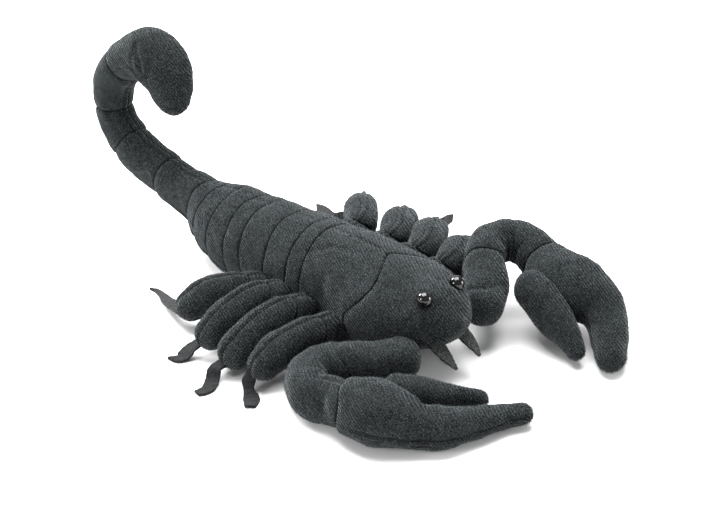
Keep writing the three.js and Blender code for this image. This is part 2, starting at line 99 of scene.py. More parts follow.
THUMBS = {
    "right": [
        (-54, -88, 14, 8.5, 9), (-43, -91.5, 13, 9.5, 9.2), (-35, -98.5, 11.4, 8.4, 8.2),
        (-26.5, -106, 9.6, 6.6, 6.6), (-18.5, -113.3, 8.2, 5.1, 5.3), (-10.5, -120.5, 6.8, 4, 4.4)],
    "left": [
        (65, -80, 30.6, 9.8, 10.2), (61.3, -95.8, 26, 10.6, 10.8), (58.3, -107, 19.6, 9.8, 10.2),
        (57, -117, 13.8, 7.4, 8.2), (54.3, -125, 9.2, 5.4, 6), (51, -130.5, 6.8, 4.4, 4.8)],
}

HIP_FIRST = 28
HIP_STEP = -18
HIP_INSET = 20
KNEE_SLANT = 3.5
HIP_SIZE = (6.5, 9)
SHIN_WIDTH = 10
SHIN_HEIGHT = 9.5
SHIN_ARCH = 4.2
KNEE_SHARE = (0.95, 0.98)
PAD_END_SHARE = 0.85
FOOT_WIDTH = 3.8
# widths of each kind of foot, as shares of FOOT_WIDTH
TOES = {"thin": (1.3, 1, 0.65, 0.4, 0.1), "heeled": (1.1, 1.2, 1.25, 0.95, 0.12),
        "round": (1.05, 1, 1, 0.95, 0.65), "bulb": (0.95, 0.95, 0.75, 1.15, 0.75)}
ON_EDGE = {("left", 0), ("left", 2)}  # feet that lie with their width upright
# hip height, knee, end of the pad, toe, foot from the pad to the toe
LEGS = {
    "right": [
        (16, (-41, 31.5, 22.5), (-66.5, 51.5, 8.2), "thin",
         [(-64, 50.5, 10.1), (-58, 71, 5), (-53.5, 81, 2.5), (-50.5, 90.5, LYING), (-51.5, 95.5, LYING)]),
        (17, (-41.5, 14, 23.8), (-79.5, 19.5, 8.2), "heeled",
         [(-76, 23, 8), (-80.5, 25.5, 5), (-84.2, 26.5, 2.2), (-88.3, 27.5, LYING), (-91.7, 32.3, LYING)]),
        (17, (-41.5, -6.5, 22.8), (-83, -2.5, 8.2), "round",
         [(-81, -1, 8), (-86, 0.5, 5.5), (-89.8, -1.6, 2), (-96.4, -5.2, LYING), (-103.2, -4.4, LYING)]),
        (16, (-42, -28, 20), (-80, -21, 8.2), "bulb",
         [(-77.5, -19.5, 8.5), (-81.2, -20, 5.5), (-84, -23, 2.3), (-87, -28, LYING), (-92.5, -33, LYING)]),
    ],
    "left": [
        (22, (48, 26, 28), (84, 57.5, 17), "bulb",
         [(76, 57, 14), (75.5, 66, 9.5), (75.5, 73, 7.2), (78, 82.5, 5.4), (81, 93.5, 4)]),
        (22, (50, 2, 27.5), (90, 28, 16), "round",
         [(88, 25, 13), (96, 29, 9.5), (103.5, 30.5, 4), (110, 30, LYING), (118, 32, LYING)]),
        (22, (49, -19.5, 27.5), (91.5, 4.5, 17), "round",
         [(89.5, -1.5, 16), (102, 11, 13.7), (107.5, 13, 12.8), (113.5, 15, 11.6), (119.5, 16.2, 10.6)]),
        (20, (48, -40, 27), (89.5, -23, 15), "round",
         [(85, -24, 12), (94, -20, 8), (100, -22, 3), (107, -26, LYING), (114, -25, LYING)]),
    ],
}

EYE_RADIUS = 4.0
EYE_SPREAD = 12.6
EYE_PLACE = -78.2
EYE_HEIGHT = 47.6
FANG_SPREAD = 9.2
# a fang's x beyond its spread, y, z and half width
FANG = ((0, -80, 25, 5), (0.4, -86.5, 21.5, 4.5), (0.4, -93, 17.3, 3.1), (-0.2, -98.3, 13.6, 0.6))


# ---- Curves, as three.js draws them ----

def catmull(points, t):
    """Uniform Catmull-Rom through points at t in 0..1, with its ends carried straight on."""
    points = np.asarray(points, float)
    last = len(points) - 1
    padded = np.vstack([2 * points[0] - points[1], points, 2 * points[-1] - points[-2]])
    x = np.clip(np.asarray(t, float), 0, 1) * last
    i = np.minimum(x.astype(int), last - 1)
    w = (x - i)[..., None]
    p0, p1, p2, p3 = padded[i], padded[i + 1], padded[i + 2], padded[i + 3]
    v0, v1 = (p2 - p0) / 2, (p3 - p1) / 2
    return (2 * p1 - 2 * p2 + v0 + v1) * w**3 + (3 * p2 - 3 * p1 - 2 * v0 - v1) * w**2 + v0 * w + p1


def unit(v):
    return v / np.maximum(np.linalg.norm(v, axis=-1, keepdims=True), 1e-9)


FINE = 60  # steps of the curve between two stations
TANGENT_STEP = 1e-4


class Limb:
    """A section carried along a curve. Distances are in millimetres along it."""

    def __init__(self, stations, side=None, squareness=SQUARENESS):
        stations = np.asarray(stations, float)
        self.places, self.sizes = stations[:, :3], stations[:, 3:5]
        self.side, self.squareness = side, squareness
        self.fine = np.linspace(0, 1, FINE * (len(stations) - 1) + 1)
        line = catmull(self.places, self.fine)
        self.run = np.r_[0, np.cumsum(np.linalg.norm(np.diff(line, axis=0), axis=1))]
        self.length = self.run[-1]

    def at(self, station):
        """Distance of a station or of a share of the way to the next one."""
        return self.run[int(round(FINE * station))]

    def radius(self, distance):
        return catmull(self.sizes, np.interp(distance, self.run, self.fine)).mean(-1)

    def axes(self, t):
        """The directions of the section's width and height."""
        after = catmull(self.places, np.clip(t + TANGENT_STEP, 0, 1))
        before = catmull(self.places, np.clip(t - TANGENT_STEP, 0, 1))
        along = unit(after - before)
        if self.side is not None:
            wide = unit(self.side - (along @ self.side)[..., None] * along)
            return wide, np.cross(wide, along)
        high = unit(UP - (along @ UP)[..., None] * along)
        return np.cross(along, high), high

    def surface(self, distance, angle, shrink):
        """Points for arrays of distance, angle round the section and share of its full size."""
        t = np.interp(distance, self.run, self.fine)
        wide, high = self.axes(t)
        size = catmull(self.sizes, t)
        bulge = 2 / self.squareness
        cx = np.sign(np.cos(angle)) * np.abs(np.cos(angle)) ** bulge * size[..., 0] * shrink
        cy = np.sign(np.sin(angle)) * np.abs(np.sin(angle)) ** bulge * size[..., 1] * shrink
        return catmull(self.places, t) + cx[..., None] * wide + cy[..., None] * high


# ---- Grids of points on a limb, with rows close together at its seams ----

NEAR_SEAM = np.array([0, 0.22, 0.45, 0.7, 1.0, 1.5, 2.2])  # rows beside a seam
NEAR_SHARE = 0.3  # the share of a piece that such rows may take at each end
DOME_ROWS = 12


def round_angles(columns):
    """Angles of a section's columns, from its lower side round."""
    return (np.arange(columns) + 0.5) / columns * 2 * math.pi - math.pi / 2


def row_places(length, step):
    """Places along one piece, from 0 to 1, close together at both its seams."""
    near = NEAR_SEAM[NEAR_SEAM < length * NEAR_SHARE]
    inner = length - 2 * near[-1]
    count = max(2, int(round(inner / step)))
    middle = near[-1] + inner * np.arange(1, count) / count
    return np.r_[near, middle, (length - near)[::-1]] / length


def skin_grid(limb, cuts, columns, step, open_start=False):
    """Distance, angle and share of full size for each row and column. A cut is a function of the angle."""
    angle = round_angles(columns)
    start = 0 if open_start else limb.sizes[0].mean()
    end = limb.sizes[-1].mean()
    lines = [np.full(columns, start)] + [cut(angle) for cut in cuts] + [np.full(columns, limb.length - end)]
    rows, shares = [], []
    for turn in [] if open_start else np.linspace(0, math.pi / 2, DOME_ROWS + 1)[1:-1]:
        rows.append(np.full(columns, start * (1 - math.cos(turn))))
        shares.append(math.sin(turn))
    for index in range(len(lines) - 1):
        low, high = lines[index], lines[index + 1]
        for place in row_places(float((high - low).mean()), step)[0 if index == 0 else 1:]:
            rows.append(low + (high - low) * place)
            shares.append(1.0)
    for turn in np.linspace(math.pi / 2, 0, DOME_ROWS + 1)[1:-1]:
        rows.append(np.full(columns, limb.length - end * (1 - math.cos(turn))))
        shares.append(math.sin(turn))
    distance = np.array(rows)
    return distance, np.broadcast_to(angle, distance.shape), np.array(shares)[:, None] * np.ones(columns)


def grid_normals(points):
    """Outward normals of a grid that closes round its columns."""
    along = np.gradient(points, axis=0)
    around = np.roll(points, -1, axis=1) - np.roll(points, 1, axis=1)
    return unit(np.cross(along, around))


# ---- Displacements, all in millimetres ----

WAVES = 14  # how many waves make up a ripple
WAVE_SPREAD = (0.7, 1.4)
STITCHES_ROUND = (44, 52)  # how many stitches and puckers a seam may have round it
PUCKERS_ROUND = (26, 34)
PHASE = 6  # stitches and puckers start at a random phase below this
SEAM_WIDTH = 0.40
BETWEEN_STITCHES, AT_STITCH = 0.72, 0.28  # a seam's depth between stitches, and what a stitch adds
PULL_WIDTH = 2.4
PUCKER_HEIGHT = 0.16
PUCKER_REACH = 2.2
BARE_WIDTH = 0.75
# width and darkness of the dark line painted along seams: dark thread together with painted shade in the
# groove
THREAD_AND_SHADE_WIDTH = 0.52
THREAD_AND_SHADE_DARKNESS = 0.92
RIDGE_WIDTH = 0.85
RIDGE_LINE = 1.9 * RIDGE_WIDTH  # how far the grooves beside a ridge, and the shade painted in them, run from its middle
RIDGE_LINE_SHARE = 0.8
RIDGE_LINE_WIDTH = 0.45


def ripple(points, height, wavelength, seed):
    """Smooth lumps and hollows of about height, the same on every run."""
    rng = np.random.default_rng(seed)
    total = np.zeros(points.shape[:-1])
    for _ in range(WAVES):
        direction = unit(rng.normal(size=3)) * rng.uniform(*WAVE_SPREAD) * 2 * math.pi / wavelength
        total += np.sin(points @ direction + rng.uniform(0, 2 * math.pi))
    return height * (total / math.sqrt(WAVES))


def groove(offset, depth, width):
    return -depth * np.exp(-((offset / width) ** 2))


def seam(offset, angle, seed, depth, pull):
    """A sewn seam: a thin deep line, a little deeper at each stitch, in a shallow dip with small puckers."""
    rng = np.random.default_rng(seed)
    stitches = int(rng.integers(*STITCHES_ROUND))
    at_stitch = 0.5 + 0.5 * np.cos(angle * stitches + rng.uniform(0, PHASE))
    waves = np.sin(angle * rng.integers(*PUCKERS_ROUND) + rng.uniform(0, PHASE))
    pucker = waves * np.exp(-np.abs(offset) / PUCKER_REACH)
    line = groove(offset, 1, SEAM_WIDTH) * depth * (BETWEEN_STITCHES + AT_STITCH * at_stitch)
    return line + groove(offset, pull, PULL_WIDTH) + PUCKER_HEIGHT * pucker


def bare_seam(offset):
    """Where no pile grows: on the line of a seam."""
    return np.abs(offset) < BARE_WIDTH


def thread_and_shade(offset, width=THREAD_AND_SHADE_WIDTH):
    """How dark the painted seam line is: dark thread with painted shade in the seam's groove, most on the
    line and none beside it.
    """
    return THREAD_AND_SHADE_DARKNESS * np.exp(-((offset / width) ** 4))


def turned(angle, middle):
    """Angle from middle, between -pi and pi."""
    return (angle - middle + math.pi) % (2 * math.pi) - math.pi


def ridge(offset, height):
    """A seam whose allowance stands up under the cloth: a ridge with a thin line on each side."""
    depth = height * RIDGE_LINE_SHARE
    lines = groove(offset - RIDGE_LINE, depth, RIDGE_LINE_WIDTH)
    lines += groove(offset + RIDGE_LINE, depth, RIDGE_LINE_WIDTH)
    return height * np.exp(-((offset / RIDGE_WIDTH) ** 2)) + lines


# painted shade in the grooves on each side of a ridge
def ridge_side_shade(offset):
    return thread_and_shade(offset - RIDGE_LINE) + thread_and_shade(offset + RIDGE_LINE)


def fold(points, corners, height, width):
    """A crease (height below 0) or a soft crest along a line through corners."""
    corners = np.asarray(corners, float)
    away = np.full(points.shape[:-1], np.inf)
    for start, end in zip(corners[:-1], corners[1:]):
        along = end - start
        share = np.clip((points - start) @ along / (along @ along), 0, 1)
        away = np.minimum(away, np.linalg.norm(points - start - share[..., None] * along, axis=-1))
    return height * np.exp(-((away / width) ** 2))


def bump_at(points, centre, height, radius):
    away = np.linalg.norm(points - np.asarray(centre, float), axis=-1)
    return height * np.exp(-((away / radius) ** 2))


# ---- Meshes ----

def mesh_object(name, points, faces, material, thread_and_shade_mask=None):
    """A smooth mesh. The last argument, where it is given, says how dark the painted line is at each point:
    dark thread with painted shade in seams, and painted shade beside ridges and round the eyes.
    """
    mesh = bpy.data.meshes.new(name)
    mesh.from_pydata((points * MM).tolist(), [], faces)
    mesh.update()
    mesh.polygons.foreach_set("use_smooth", [True] * len(mesh.polygons))
    if thread_and_shade_mask is not None:
        # an attribute for the painted dark lines: thread, and painted shade in grooves and round the eyes
        layer = mesh.attributes.new(name="thread_and_shade", type="FLOAT", domain="POINT")
        layer.data.foreach_set("value", thread_and_shade_mask.astype(np.float32))
    piece = bpy.data.objects.new(name, mesh)
    bpy.context.scene.collection.objects.link(piece)
    piece.data.materials.append(material)
    return piece


def grid_faces(rows, columns):
    """Quads of a grid closed round its columns, with a fan to a pole at each end."""
    row, column = np.meshgrid(np.arange(rows - 1), np.arange(columns), indexing="ij")
    here = row * columns + column
    beside = row * columns + (column + 1) % columns
    quads = np.stack([here, here + columns, beside + columns, beside], -1).reshape(-1, 4)
    ring = np.arange(columns)
    following = (ring + 1) % columns
    first, last = rows * columns, rows * columns + 1
    start = np.stack([np.full(columns, first), ring, following], -1)
    base = (rows - 1) * columns
    end = np.stack([np.full(columns, last), base + following, base + ring], -1)
    return quads.tolist() + start.tolist() + end.tolist()


def with_poles(points):
    return np.vstack([points.reshape(-1, 3), points[0].mean(0), points[-1].mean(0)])


GAP = 0.25  # between two skins that press on each other
PRESS_REACH = 30.0
MOVED = 0.05


def kept_clear(points, trees):
    """Points inside any of the skins, moved out to its surface as cloth presses on cloth, and which moved."""
    flat = points.reshape(-1, 3).copy()
    for tree in trees:
        for index, place in enumerate(flat):
            found, normal, _, _ = tree.find_nearest(Vector(place), PRESS_REACH)
            if found is None:
                continue
            if (Vector(place) - found).dot(normal) < GAP:
                flat[index] = found + normal * GAP
    clear = flat.reshape(points.shape)
    return clear, np.linalg.norm(clear - points, axis=-1) > MOVED


# ---- Materials ----

WAVE_PERIOD = math.pi / 10  # a wave texture repeats after this much of its own scale


def grey(value):
    return (value, value, value)


class Nodes:
    """Short names for building one material's nodes."""

    def __init__(self, name):
        self.material = bpy.data.materials.new(name)
        self.material.use_nodes = True
        self.tree = self.material.node_tree
        self.shader = self.tree.nodes["Principled BSDF"]
        self.place = self.add("ShaderNodeTexCoord").outputs["Object"]

    def add(self, kind, **values):
        """A new node. A value names a setting or, with underscores for spaces, an input."""
        node = self.tree.nodes.new(kind)
        for key, value in values.items():
            if hasattr(node, key):
                setattr(node, key, value)
            else:
                node.inputs[key.replace("_", " ")].default_value = value
        return node

    def link(self, start, end):
        self.tree.links.new(start, end)

    def noise(self, size_mm, detail=3.0, roughness=0.55):
        """Noise whose lumps are about size_mm across."""
        node = self.add("ShaderNodeTexNoise", Scale=1 / (size_mm * MM), Detail=detail, Roughness=roughness)
        self.link(self.place, node.inputs["Vector"])
        return node.outputs["Fac"]

    def ribs(self, period_mm, turn, wobble):
        """Parallel knit ribs, period_mm apart."""
        mapping = self.add("ShaderNodeMapping")
        mapping.inputs["Rotation"].default_value = turn
        self.link(self.place, mapping.inputs["Vector"])
        scale = WAVE_PERIOD / (period_mm * MM)
        wave = self.add("ShaderNodeTexWave", Scale=scale, Distortion=wobble, Detail=2.0, Detail_Scale=1.4)
        self.link(mapping.outputs["Vector"], wave.inputs["Vector"])
        return wave.outputs["Fac"]

    def ramp(self, value, low, high, start=0.3, end=0.7):
        node = self.add("ShaderNodeValToRGB")
        node.color_ramp.elements[0].position = start
        node.color_ramp.elements[1].position = end
        node.color_ramp.elements[0].color = (*low, 1)
        node.color_ramp.elements[1].color = (*high, 1)
        self.link(value, node.inputs["Fac"])
        return node.outputs["Color"]

    def mix(self, first, second, share, kind="MIX"):
        """share is a number or another node's output. The node's sockets for colours are 6, 7 and 2."""
        node = self.add("ShaderNodeMix", data_type="RGBA", blend_type=kind)
        if isinstance(share, float):
            node.inputs[0].default_value = share
        else:
            self.link(share, node.inputs[0])
        self.link(first, node.inputs[6])
        self.link(second, node.inputs[7])
        return node.outputs[2]

    def bump(self, height, distance_mm, strength, under=None):
        node = self.add("ShaderNodeBump", Strength=strength, Distance=distance_mm * MM)
        self.link(height, node.inputs["Height"])
        if under is not None:
            self.link(under, node.inputs["Normal"])
        return node.outputs["Normal"]

    def finish(self, **sockets):
        for key, value in sockets.items():
            self.shader.inputs[key.replace("_", " ")].default_value = value
        return self.material


PILE_DARK = np.array([0.0036, 0.0044, 0.0046])
PILE_LIGHT = np.array([0.0415, 0.0475, 0.0490])
# near-black colour of the painted lines: dark thread, and painted shade in seam grooves, beside ridges and
# round the eyes
THREAD_AND_SHADE_BLACK = (0.0006, 0.0006, 0.0007), (0.002, 0.002, 0.0024)


def velour(name, lift):
    """Short dark pile, lift times as light: grainy and mottled, with knit ribs and a grainy sheen."""
    n = Nodes(name)
    tips = n.noise(0.95, detail=5.0, roughness=0.70)
    grain = n.ramp(tips, PILE_DARK * lift, PILE_LIGHT * lift, start=0.40, end=0.62)
    patches = n.ramp(n.noise(11.0, detail=4.0), grey(0.80), (1.15, 1.16, 1.17), start=0.35, end=0.68)
    colour = n.mix(grain, patches, 1.0, "MULTIPLY")
    ribs = n.ribs(1.35, turn=(0.5, 0.4, 0.75), wobble=0.9)
    striped = n.mix(colour, n.ramp(ribs, grey(0.48), grey(1.36)), 1.0, "MULTIPLY")
    worn = n.ramp(n.noise(26.0, detail=2.0), grey(0.15), grey(1), start=0.38, end=0.58)
    cloth = n.mix(colour, striped, worn)
    # the seam lines are painted near black: dark thread with painted shade
    painted_line_colour = n.ramp(n.noise(0.5), *THREAD_AND_SHADE_BLACK)
    sewn_and_shaded = n.add("ShaderNodeAttribute", attribute_name="thread_and_shade").outputs["Fac"]
    n.link(n.mix(cloth, painted_line_colour, sewn_and_shaded), n.shader.inputs["Base Color"])
    n.link(n.ramp(n.noise(3.0), grey(0.82), grey(0.96)), n.shader.inputs["Roughness"])
    under = n.bump(n.noise(0.8, detail=4.0, roughness=0.62), distance_mm=0.45, strength=0.8)
    n.link(n.bump(ribs, distance_mm=0.35, strength=0.7, under=under), n.shader.inputs["Normal"])
    n.link(n.ramp(tips, grey(0.10), grey(0.60), start=0.38, end=0.62), n.shader.inputs["Sheen Weight"])
    return n.finish(Sheen_Roughness=0.28, Sheen_Tint=(0.80, 0.87, 0.90, 1), Specular_IOR_Level=0.08)


def felt(name, low, high, woven):
    n = Nodes(name)
    fibres = n.noise(1.0, detail=5.0, roughness=0.75)
    n.link(n.ramp(fibres, low, high, start=0.40, end=0.68), n.shader.inputs["Base Color"])
    n.link(n.ramp(n.noise(2.0), grey(0.88), grey(1.0)), n.shader.inputs["Roughness"])
    under = n.bump(n.noise(0.8, detail=4.0, roughness=0.65), distance_mm=0.35, strength=0.9)
    if woven:
        weave = n.ribs(1.1, turn=(0.2, 0.9, 0.3), wobble=0.8)
        under = n.bump(weave, distance_mm=0.3, strength=0.9, under=under)
    n.link(under, n.shader.inputs["Normal"])
    return n.finish(Sheen_Weight=0.12, Sheen_Roughness=0.5, Specular_IOR_Level=0.06)


def bead(name):
    """Black moulded plastic."""
    n = Nodes(name)
    colour = n.ramp(n.noise(2.2), (0.0010, 0.0010, 0.0012), (0.0022, 0.0022, 0.0026))
    n.link(colour, n.shader.inputs["Base Color"])
    n.link(n.ramp(n.noise(0.9), grey(0.035), grey(0.070)), n.shader.inputs["Roughness"])
    n.link(n.bump(n.noise(1.6), distance_mm=0.01, strength=0.2), n.shader.inputs["Normal"])
    return n.finish(IOR=1.47)


PLUSH = velour("plush_skin", lift=0.76)
PILE = velour("plush_pile", lift=1.0)
FOOT_FELT = felt("felt_foot", (0.004, 0.0044, 0.0046), (0.019, 0.0205, 0.0215), woven=False)
FANG_FELT = felt("felt_fang", (0.0010, 0.0011, 0.0012), (0.075, 0.079, 0.076), woven=True)
THREAD = felt("felt_thread", (0.0008, 0.0008, 0.001), (0.004, 0.004, 0.0045), woven=False)
BEAD = bead("eye_bead")


# ---- Skins: each is kept for the pile and for what presses on it ----

SKINS = {}
THREAD_AND_SHADE_BARE = 0.3  # no pile grows where the painted line of thread and shade is darker than this


def place_skin(name, points, material, nodes, bare=False, thread_and_shade_mask=None, shag=1.0):
    """One finished skin: points are rows by columns, in millimetres.

    bare is where no pile grows, the argument after it where a painted line of dark thread and shade shows,
    and shag how many times as long the pile is.
    """
    points[..., 2] = np.maximum(points[..., 2], 0.0)  # nothing goes under the floor
    corners, faces = with_poles(points), grid_faces(*points.shape[:2])
    if thread_and_shade_mask is not None:
        bare = bare | (thread_and_shade_mask > THREAD_AND_SHADE_BARE)
        thread_and_shade_mask = np.r_[np.clip(thread_and_shade_mask, 0, 1).ravel(), 0.0, 0.0]
    piece = mesh_object(name, corners, faces, material, thread_and_shade_mask)
    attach(piece, "root")
    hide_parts(*nodes)
    SKINS[name] = {
        "points": points,
        "normals": grid_normals(points),
        "tree": BVHTree.FromPolygons([Vector(corner) for corner in corners], faces),
        "hidden": np.broadcast_to(bare, points.shape[:2]),
        "shag": np.broadcast_to(shag, points.shape[:2]),
    }


body = Limb(BODY, side=SIDE)


def v_seam(angle):
    """How far along the body the V seam runs at each angle."""
    turn = np.minimum(np.abs(turned(angle, TOP)) / (math.pi / 2), 1)
    return body.at(V_SEAM) + V_TOP + V_DIP * np.sin(math.pi * turn) + V_SWEEP * turn**3


def across(limb, station):
    return lambda angle: np.full(np.shape(angle), limb.at(station))


def weight(distance, start, end, soft=4.0):
    """1 between start and end, easing to 0 outside them."""
    return 1 / (1 + np.exp(-(distance - start) / soft)) / (1 + np.exp((distance - end) / soft))


PAST_END = 20  # a weight that ends this far past a limb is still 1 at the limb's end


def weight_from(limb, distance, start, soft=4.0):
    """0 before start, easing to 1 from there to the limb's end."""
    return weight(distance, start, limb.length + PAST_END, soft)


def frayed_end(limb, distance, more, reach, soft):
    """How many times as long the pile is: 1, and more over the last reach of the limb."""
    return 1 + more * weight_from(limb, distance, limb.length - reach, soft)


INSET = 0.3  # the skin lies this far inside the full size, and the pile makes up for it
TAIL_RIDGE_SHADE = 0.5  # how dark the shade painted in the grooves beside the ridges of the tail and of the sides is
SIDE_RIDGE_SHADE = 0.6
FLANK_DROP = 0.55  # the side seams run this angle below the sides
WRINKLES = ((24.75, 1.7), (25.4, 0.7), (26.05, 1.7))  # station and depth, inside the sting's bend
WRINKLE_REACH = 1.9  # how far round the bend they run, as an angle
WRINKLE_CREST = 3.0  # a soft crest stands this far past each wrinkle
CREST_SHARE = 0.4
EYE_DIMPLE = {"height": -1.5, "radius": 5.6}
EYE_BARE = 0.9
# a ring of painted shade, where the bead's socket is shadowed, reaches this far past the bead
EYE_RIM_SHADE = 0.4
STITCHES_X = -0.4  # the hand stitches run beside the middle of the chest
STITCHES_BARE = 1.7
STITCHES_ABOVE = 40
CHEST_MARGIN = 2
FOLDS = (  # corners, height and width of the creases on the chest and the sting
    (((-25.1, -17.8, 40.9), (-26.5, -18.5, 34.0)), -0.9, 3.6),
    (((-27.7, -31.4, 38.5), (-29.0, -32.5, 32.0)), -0.7, 3.6),
    (((-18.2, -3.1, 51.1), (-12.8, -14.9, 55.2), (-10.9, -28.6, 55.9)), -0.7, 1.8),
    (((-12.0, 145.1, 123.9), (-14.7, 139.4, 117.6), (-15.2, 137.6, 109.7)), -1.5, 1.7),
    (((-13.1, 131.9, 118.0), (-14.7, 132.2, 112.3), (-14.9, 134.1, 107.8)), -1.3, 1.5),
    (((-14.1, 156.6, 113.6), (-14.6, 148.7, 110.1), (-14.9, 140.1, 107.2)), -0.7, 1.8),
)


def build_body():
    """Head, chest, abdomen, tail and sting in one skin."""
    seams = TRUNK_SEAMS + TAIL_SEAMS
    cuts = [v_seam] + [across(body, station) for station in seams]
    distance, angle, share = skin_grid(body, cuts, columns=176, step=1.35)
    points = body.surface(distance, angle, share)
    normals = grid_normals(points)
    radius = body.radius(distance)
    offset = distance - v_seam(angle)
    lift = seam(offset, angle, seed=3, depth=1.6, pull=0.45) - INSET
    bare = bare_seam(offset)
    # painted dark line on each seam: dark thread and painted shade in its groove
    thread_and_shade_mask = thread_and_shade(offset)
    for index, station in enumerate(seams):
        offset = distance - body.at(station)
        lift += seam(offset, angle, seed=20 + index, depth=1.5, pull=0.7 if station in TAIL_SEAMS else 0.3)
        bare |= bare_seam(offset)
        thread_and_shade_mask += thread_and_shade(offset)

    trunk = weight(distance, body.at(TRUNK_SEAMS[0]), body.at(TRUNK_SEAMS[-1]))
    tail = weight(distance, body.at(TRUNK_SEAMS[-1]), body.at(TAIL_SEAMS[-1]), soft=2.0)
    top = turned(angle, TOP) * radius
    below = turned(angle, -TOP) * radius
    lift += tail * (ridge(top, height=0.7) + ridge(below, height=0.5))
    # painted shade in the grooves beside the tail's ridges
    thread_and_shade_mask += TAIL_RIDGE_SHADE * tail * (ridge_side_shade(top) + ridge_side_shade(below))
    lift += trunk * groove(top, depth=0.5, width=0.6)
    flank = weight(distance, *(body.at(station) for station in FLANKS))
    for middle in (-FLANK_DROP, math.pi + FLANK_DROP):
        aside = turned(angle, middle) * radius
        lift += flank * ridge(aside, height=0.7)
        # painted shade in the grooves beside the side seams
        thread_and_shade_mask += SIDE_RIDGE_SHADE * flank * ridge_side_shade(aside)

    bend = np.exp(-((turned(angle, TOP) / WRINKLE_REACH) ** 4))
    for station, depth in WRINKLES:
        offset = distance - body.at(station)
        crest = groove(offset - WRINKLE_CREST, CREST_SHARE * depth, width=1.8)
        lift += bend * (groove(offset, depth, width=1.5) - crest)
    lumps = ripple(points, height=0.5, wavelength=34, seed=5)
    lift += lumps + ripple(points, height=0.16, wavelength=11, seed=6)
    for corners, height, width in FOLDS:
        lift += fold(points, corners, height, width)

    for sign in SIGNS.values():
        eye = (sign * EYE_SPREAD, EYE_PLACE, EYE_HEIGHT)
        lift += bump_at(points, eye, **EYE_DIMPLE)
        away = np.linalg.norm(points - eye, axis=-1)
        bare |= away < EYE_RADIUS + EYE_BARE
        # a ring of painted shade round each bead, for the shadowed socket
        thread_and_shade_mask += thread_and_shade(away, EYE_RADIUS + EYE_RIM_SHADE)

    after_v = distance > v_seam(angle) + CHEST_MARGIN
    chest = after_v & (distance < body.at(TRUNK_SEAMS[0]) - CHEST_MARGIN)
    stitched = points[..., 0] - STITCHES_X
    bare |= chest & (points[..., 2] > STITCHES_ABOVE) & (np.abs(stitched) < STITCHES_BARE)
    lift += chest * groove(stitched, depth=0.5, width=1.2)
    shag = frayed_end(body, distance, more=1.3, reach=10, soft=2.5)
    points = points + normals * lift[..., None]
    place_skin("body_skin", points, PLUSH, BODY_NODES, bare=bare, thread_and_shade_mask=thread_and_shade_mask, shag=shag)


build_body()


ELBOW_FILL = 1.8  # how much fuller the inside of the elbow is
ELBOW_FULL = (4, 6)  # how far after the elbow's seam and before the wrist's that starts and ends
ELBOW_CREASES = ((4.6, 0.8), (5.35, 1.4), (6.15, 1.0))  # station and depth
ELBOW_REACH = 0.9  # how far round the arm they run, as an angle
OUTER_REACH = 1.2  # the same for the lumps on the arm's outer side
CLAW_START = 14  # how far after the wrist the claw's own seams start
CLAW_DROP = 0.2  # the claw's lower seam runs this angle below its outer side
# how dark the painted shade beside the claw's lower ridge is
CLAW_RIDGE_SHADE = 0.6
CLAW_FRAY = 1.6  # how much longer the pile is along the claw's lower seam
FRAY_WIDTH = 1.6
ARM_FOLDS = {  # corners, height and width of the creases on the arms
    "right": (
        (((-74.0, -90.0, 27.5), (-62.0, -96.0, 29.5), (-50.0, -102.0, 24.0)), -0.6, 2.2),
        (((-60.0, -108.0, 25.5), (-56.0, -112.0, 21.0), (-50.0, -112.0, 16.0)), -0.7, 1.8),
        (((-44.0, -120.0, 19.0), (-47.0, -126.0, 16.0)), -0.6, 1.8),
        (((-30.0, -127.0, 16.5), (-33.0, -133.0, 12.5)), -0.5, 1.6),
        (((-84.0, -60.0, 18.0), (-72.0, -62.0, 25.0), (-62.0, -62.0, 24.0)), -0.6, 2.4),
        (((-74.7, -64.1, 24.9), (-71.7, -69.8, 25.0), (-71.2, -78.2, 27.4)), -1.2, 1.5),
    ),
    "left": (
        (((31.5, -71.1, 33.4), (36.0, -79.0, 35.3), (47.9, -81.6, 33.5)), -1.3, 1.7),
        (((76.6, -62.6, 45.7), (75.9, -64.6, 41.4), (76.5, -66.7, 36.1)), -1.3, 1.6),
        (((72.0, -66.0, 46.0), (84.0, -58.0, 49.5), (92.0, -52.0, 44.0)), -0.7, 2.2),
        (((70.0, -112.0, 34.0), (82.0, -108.0, 41.0), (92.0, -104.0, 36.0)), -0.6, 2.4),
    ),
}


